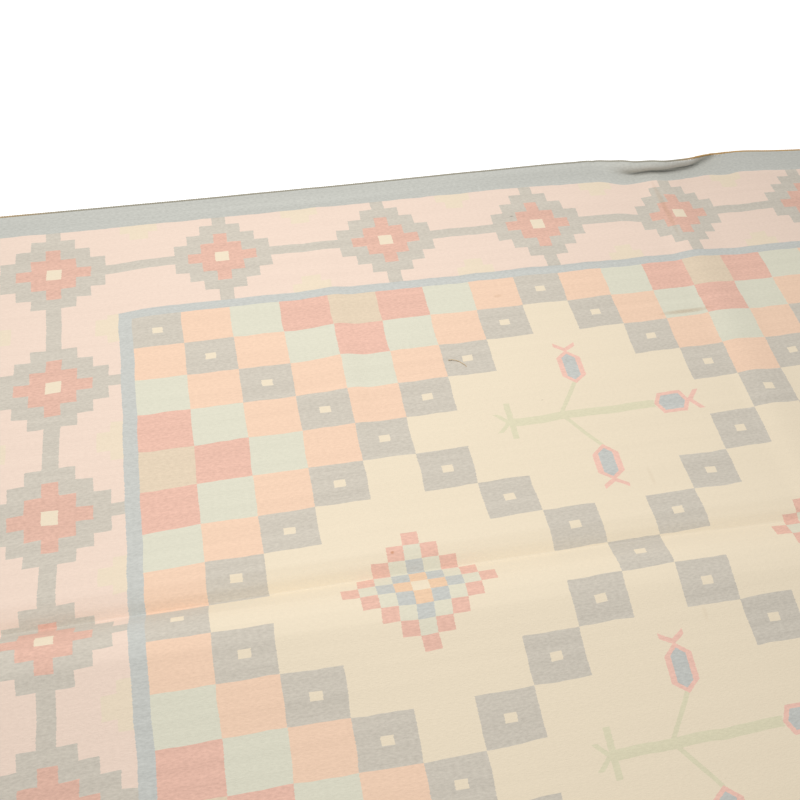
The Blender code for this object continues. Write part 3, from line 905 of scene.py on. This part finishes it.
def weft_faced_cotton():
    """Dyed cotton wefts beaten down over hidden warps: matt, finely ribbed, streaky along X."""
    made = bpy.data.materials.new("weft-faced dyed cotton")
    made.use_nodes = True
    tree = made.node_tree
    shader = tree.nodes["Principled BSDF"]
    woven_at = add(tree, "UVMap", uv_map="place in the weaving")
    split = tree.nodes.new("ShaderNodeSeparateXYZ")
    tree.links.new(woven_at, split.inputs[0])
    column, row = split.outputs[0], split.outputs[1]
    across = add(tree, "Math", column, CELL_WIDTH, operation="MULTIPLY")
    along = add(tree, "Math", row, CELL_HEIGHT, operation="MULTIPLY")

    # Joints along the warp are toothed every few picks (2 mm); joints along the weft wave slowly
    teeth = yarn_noise(tree, across, along, *JOINT_TEETH, 1.0)
    waves = yarn_noise(tree, across, along, *JOINT_WAVES, 2.0)
    lean = yarn_noise(tree, across, along, *JOINT_LEAN, 1.0)
    toothed_column = wandering(tree, column, teeth, TEETH_REACH)
    wandered_column = wandering(tree, toothed_column, lean, LEAN_REACH)
    wandered_row = wandering(tree, row, waves, WAVE_REACH)

    field = field_pattern(tree, wandered_column, wandered_row)
    border = border_pattern(
        tree, mirrored(tree, wandered_column, COLUMNS), mirrored(tree, wandered_row, ROWS))
    in_field = block(tree, wandered_column, wandered_row, COLUMNS / 2, ROWS / 2,
                     middle=(COLUMNS / 2, ROWS / 2))
    cloth = add(tree, "MixRGB", in_field, border, field)
    # Stains and slubs, and painted shade along the pinch under the far ripple
    cloth = stains_and_painted_shade(tree, cloth, column, row)

    # Slubby yarn: streaks about 6 mm long and 2 mm high, strongest where the dye is deepest
    paleness = add(tree, "RGBToBW", cloth)
    depth = add(tree, "Math", PALEST_DYE, paleness, operation="SUBTRACT")
    depth = add(tree, "Math", depth, DEEP_DYE_SHARE, LEAST_UNEVEN, operation="MULTIPLY_ADD")
    streaks = yarn_noise(tree, across, along, *SLUBS, 2.0)
    batches = yarn_noise(tree, across, along, *DYE_BATCHES, 2.0)
    uneven = add(tree, "Math", batches, BATCH_SHARE, streaks, operation="MULTIPLY_ADD")
    uneven = add(tree, "Math", uneven, (1 + BATCH_SHARE) / 2, operation="SUBTRACT")
    shade = add(tree, "Math", uneven, depth, 1.0, operation="MULTIPLY_ADD")
    scaled = add(tree, "VectorMath", cloth, None, None, shade, operation="SCALE")
    tree.links.new(scaled, shader.inputs["Base Color"])

    # Ribs over the warps, 3.2 mm apart, and the picks of the weft between them
    turn = add(tree, "Math", across, math.tau / WARP_SPACING, operation="MULTIPLY")
    ribs = add(tree, "Math", turn, operation="SINE")
    picks = yarn_noise(tree, across, along, *PICKS, 1.0)
    relief = add(tree, "Math", ribs, RIB_SHARE, picks, operation="MULTIPLY_ADD")
    relief = add(tree, "Math", relief, streaks, operation="ADD")
    bump = tree.nodes.new("ShaderNodeBump")
    bump.inputs["Strength"].default_value = WEAVE_RELIEF[0]
    bump.inputs["Distance"].default_value = WEAVE_RELIEF[1]
    tree.links.new(relief, bump.inputs["Height"])
    tree.links.new(bump.outputs[0], shader.inputs["Normal"])

    shader.inputs["Roughness"].default_value = WEAVE_ROUGHNESS
    shader.inputs["Specular IOR Level"].default_value = COTTON_SHINE
    shader.inputs["Sheen Weight"].default_value = FUZZ[0]
    shader.inputs["Sheen Roughness"].default_value = FUZZ[1]
    return made


def plain_yarn(name, yarn, faded=None):
    """Twisted cotton yarn: matt, with painted shade darkening the grooves between its plies.

    Where a faded colour is given, the yarn shows it in the stretches that have lost their dye.
    """
    made = bpy.data.materials.new(name)
    made.use_nodes = True
    tree = made.node_tree
    shader = tree.nodes["Principled BSDF"]
    place = tree.nodes.new("ShaderNodeTexCoord").outputs["Object"]
    grain = add(tree, "TexNoise", place, None, PLY_GRAINS, 2.0)
    # Painted shade: the colour darkens where the relief sinks into a groove between plies
    painted_groove_shade = add(tree, "Math", grain, *PLY_GROOVE_PAINTED_SHADE, operation="MULTIPLY_ADD")
    colour = linear(YARNS[yarn])[:3]
    if faded:
        kept = add(tree, "SeparateXYZ", add(tree, "UVMap", uv_map="dye kept"))
        colour = add(tree, "MixRGB", kept, linear(YARNS[faded]), linear(YARNS[yarn]))
    scaled = add(tree, "VectorMath", colour, None, None, painted_groove_shade, operation="SCALE")
    tree.links.new(scaled, shader.inputs["Base Color"])
    bump = tree.nodes.new("ShaderNodeBump")
    bump.inputs["Strength"].default_value = PLY_RELIEF[0]
    bump.inputs["Distance"].default_value = PLY_RELIEF[1]
    tree.links.new(grain, bump.inputs["Height"])
    tree.links.new(bump.outputs[0], shader.inputs["Normal"])
    shader.inputs["Roughness"].default_value = YARN_ROUGHNESS
    shader.inputs["Specular IOR Level"].default_value = COTTON_SHINE
    return made


def set_camera():
    """The photograph's view, moved with the rug."""
    camera = bpy.data.objects.new("camera", bpy.data.cameras.new("camera"))
    bpy.context.scene.collection.objects.link(camera)
    camera.data.sensor_width = SENSOR
    camera.data.lens = SENSOR * FOCAL_PIXELS / PICTURE_PIXELS
    camera.data.clip_start = NEAREST_SEEN
    place = (LENS_PLACE[0] + RUG_SHIFT[0], LENS_PLACE[1] + RUG_SHIFT[1], LENS_PLACE[2])
    axes = zip(PICTURE_RIGHT, PICTURE_DOWN, LENS_LOOK, place)
    rows = [(right, -down, -look, spot) for right, down, look, spot in axes]
    camera.matrix_world = Matrix(rows + [(0.0, 0.0, 0.0, 1.0)])
    bpy.context.scene.camera = camera


def soft_light(name, place, aim, size, watts):
    """A large white soft box, aimed at a point."""
    lamp = bpy.data.objects.new(name, bpy.data.lights.new(name, "AREA"))
    bpy.context.scene.collection.objects.link(lamp)
    lamp.data.shape = "DISK"
    lamp.data.size = size
    lamp.data.energy = watts
    away = np.array(place) - np.array(aim)
    away = away / np.linalg.norm(away)
    right = np.cross((0.0, 0.0, 1.0), away)
    right /= np.linalg.norm(right)
    up = np.cross(away, right)
    rows = [(right[k], up[k], away[k], place[k]) for k in range(3)]
    lamp.matrix_world = Matrix(rows + [(0.0, 0.0, 0.0, 1.0)])


def set_stage():
    """A white floor under even light from all round, and a soft box above the far left."""
    sides = ((-1, -1), (1, -1), (1, 1), (-1, 1))
    corners = [(FLOOR_REACH * x, FLOOR_REACH * y, 0.0) for x, y in sides]
    floor = add_piece("floor", corners, [(0, 1, 2, 3)])
    paint = bpy.data.materials.new("matt white floor")
    paint.use_nodes = True
    shader = paint.node_tree.nodes["Principled BSDF"]
    shader.inputs["Base Color"].default_value = linear(WHITE)
    shader.inputs["Roughness"].default_value = FLOOR_ROUGHNESS
    shader.inputs["Specular IOR Level"].default_value = 0.0
    shader.inputs["Emission Color"].default_value = linear(WHITE)
    shader.inputs["Emission Strength"].default_value = FLOOR_GLOW
    floor.data.materials.append(paint)
    world = bpy.data.worlds.new("even studio light")
    world.use_nodes = True
    background = world.node_tree.nodes["Background"]
    background.inputs["Color"].default_value = linear(WHITE)
    background.inputs["Strength"].default_value = ROOM_LIGHT
    bpy.context.scene.world = world
    soft_light("soft box", SOFT_BOX_PLACE, SOFT_BOX_AIM, SOFT_BOX_SIZE, SOFT_BOX_WATTS)
    bpy.context.scene.view_settings.view_transform = "Standard"


def main():
    set_camera()
    points, places = middle_surface()
    cloth = woven_sheet(points, places)
    cloth.data.materials.append(weft_faced_cotton())
    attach(cloth, "root")
    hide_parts("rug")

    ochre = plain_yarn("plaited ochre cotton warps", "ochre", "faded_ochre")
    # Piece, node, and the grid's lines at the woven end and just inside it
    for name, node, line, inner in (
        ("plaited_end_far", "end_cord_far", 0, 3),
        ("plaited_end_near", "end_cord_near", -1, -3),
    ):
        outward = points[:, line] - points[:, inner]
        outward[:, 0] = 0
        outward /= np.linalg.norm(outward, axis=1, keepdims=True)
        cord = plaited_cord(name, points[:, line], outward, places[:, 0, 0])
        cord.data.materials.append(ochre)
        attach(cord, "root")
        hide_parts(node)

    path = np.array([surface_point(points, places, *spot) for spot in LOOSE_THREAD])
    thread = add_piece("loose_thread", *tube(path, THREAD_RADIUS, THREAD_SIDES))
    thread.data.materials.append(plain_yarn("pulled cotton warp end", "straw"))
    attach(thread, "root")

    set_stage()


main()
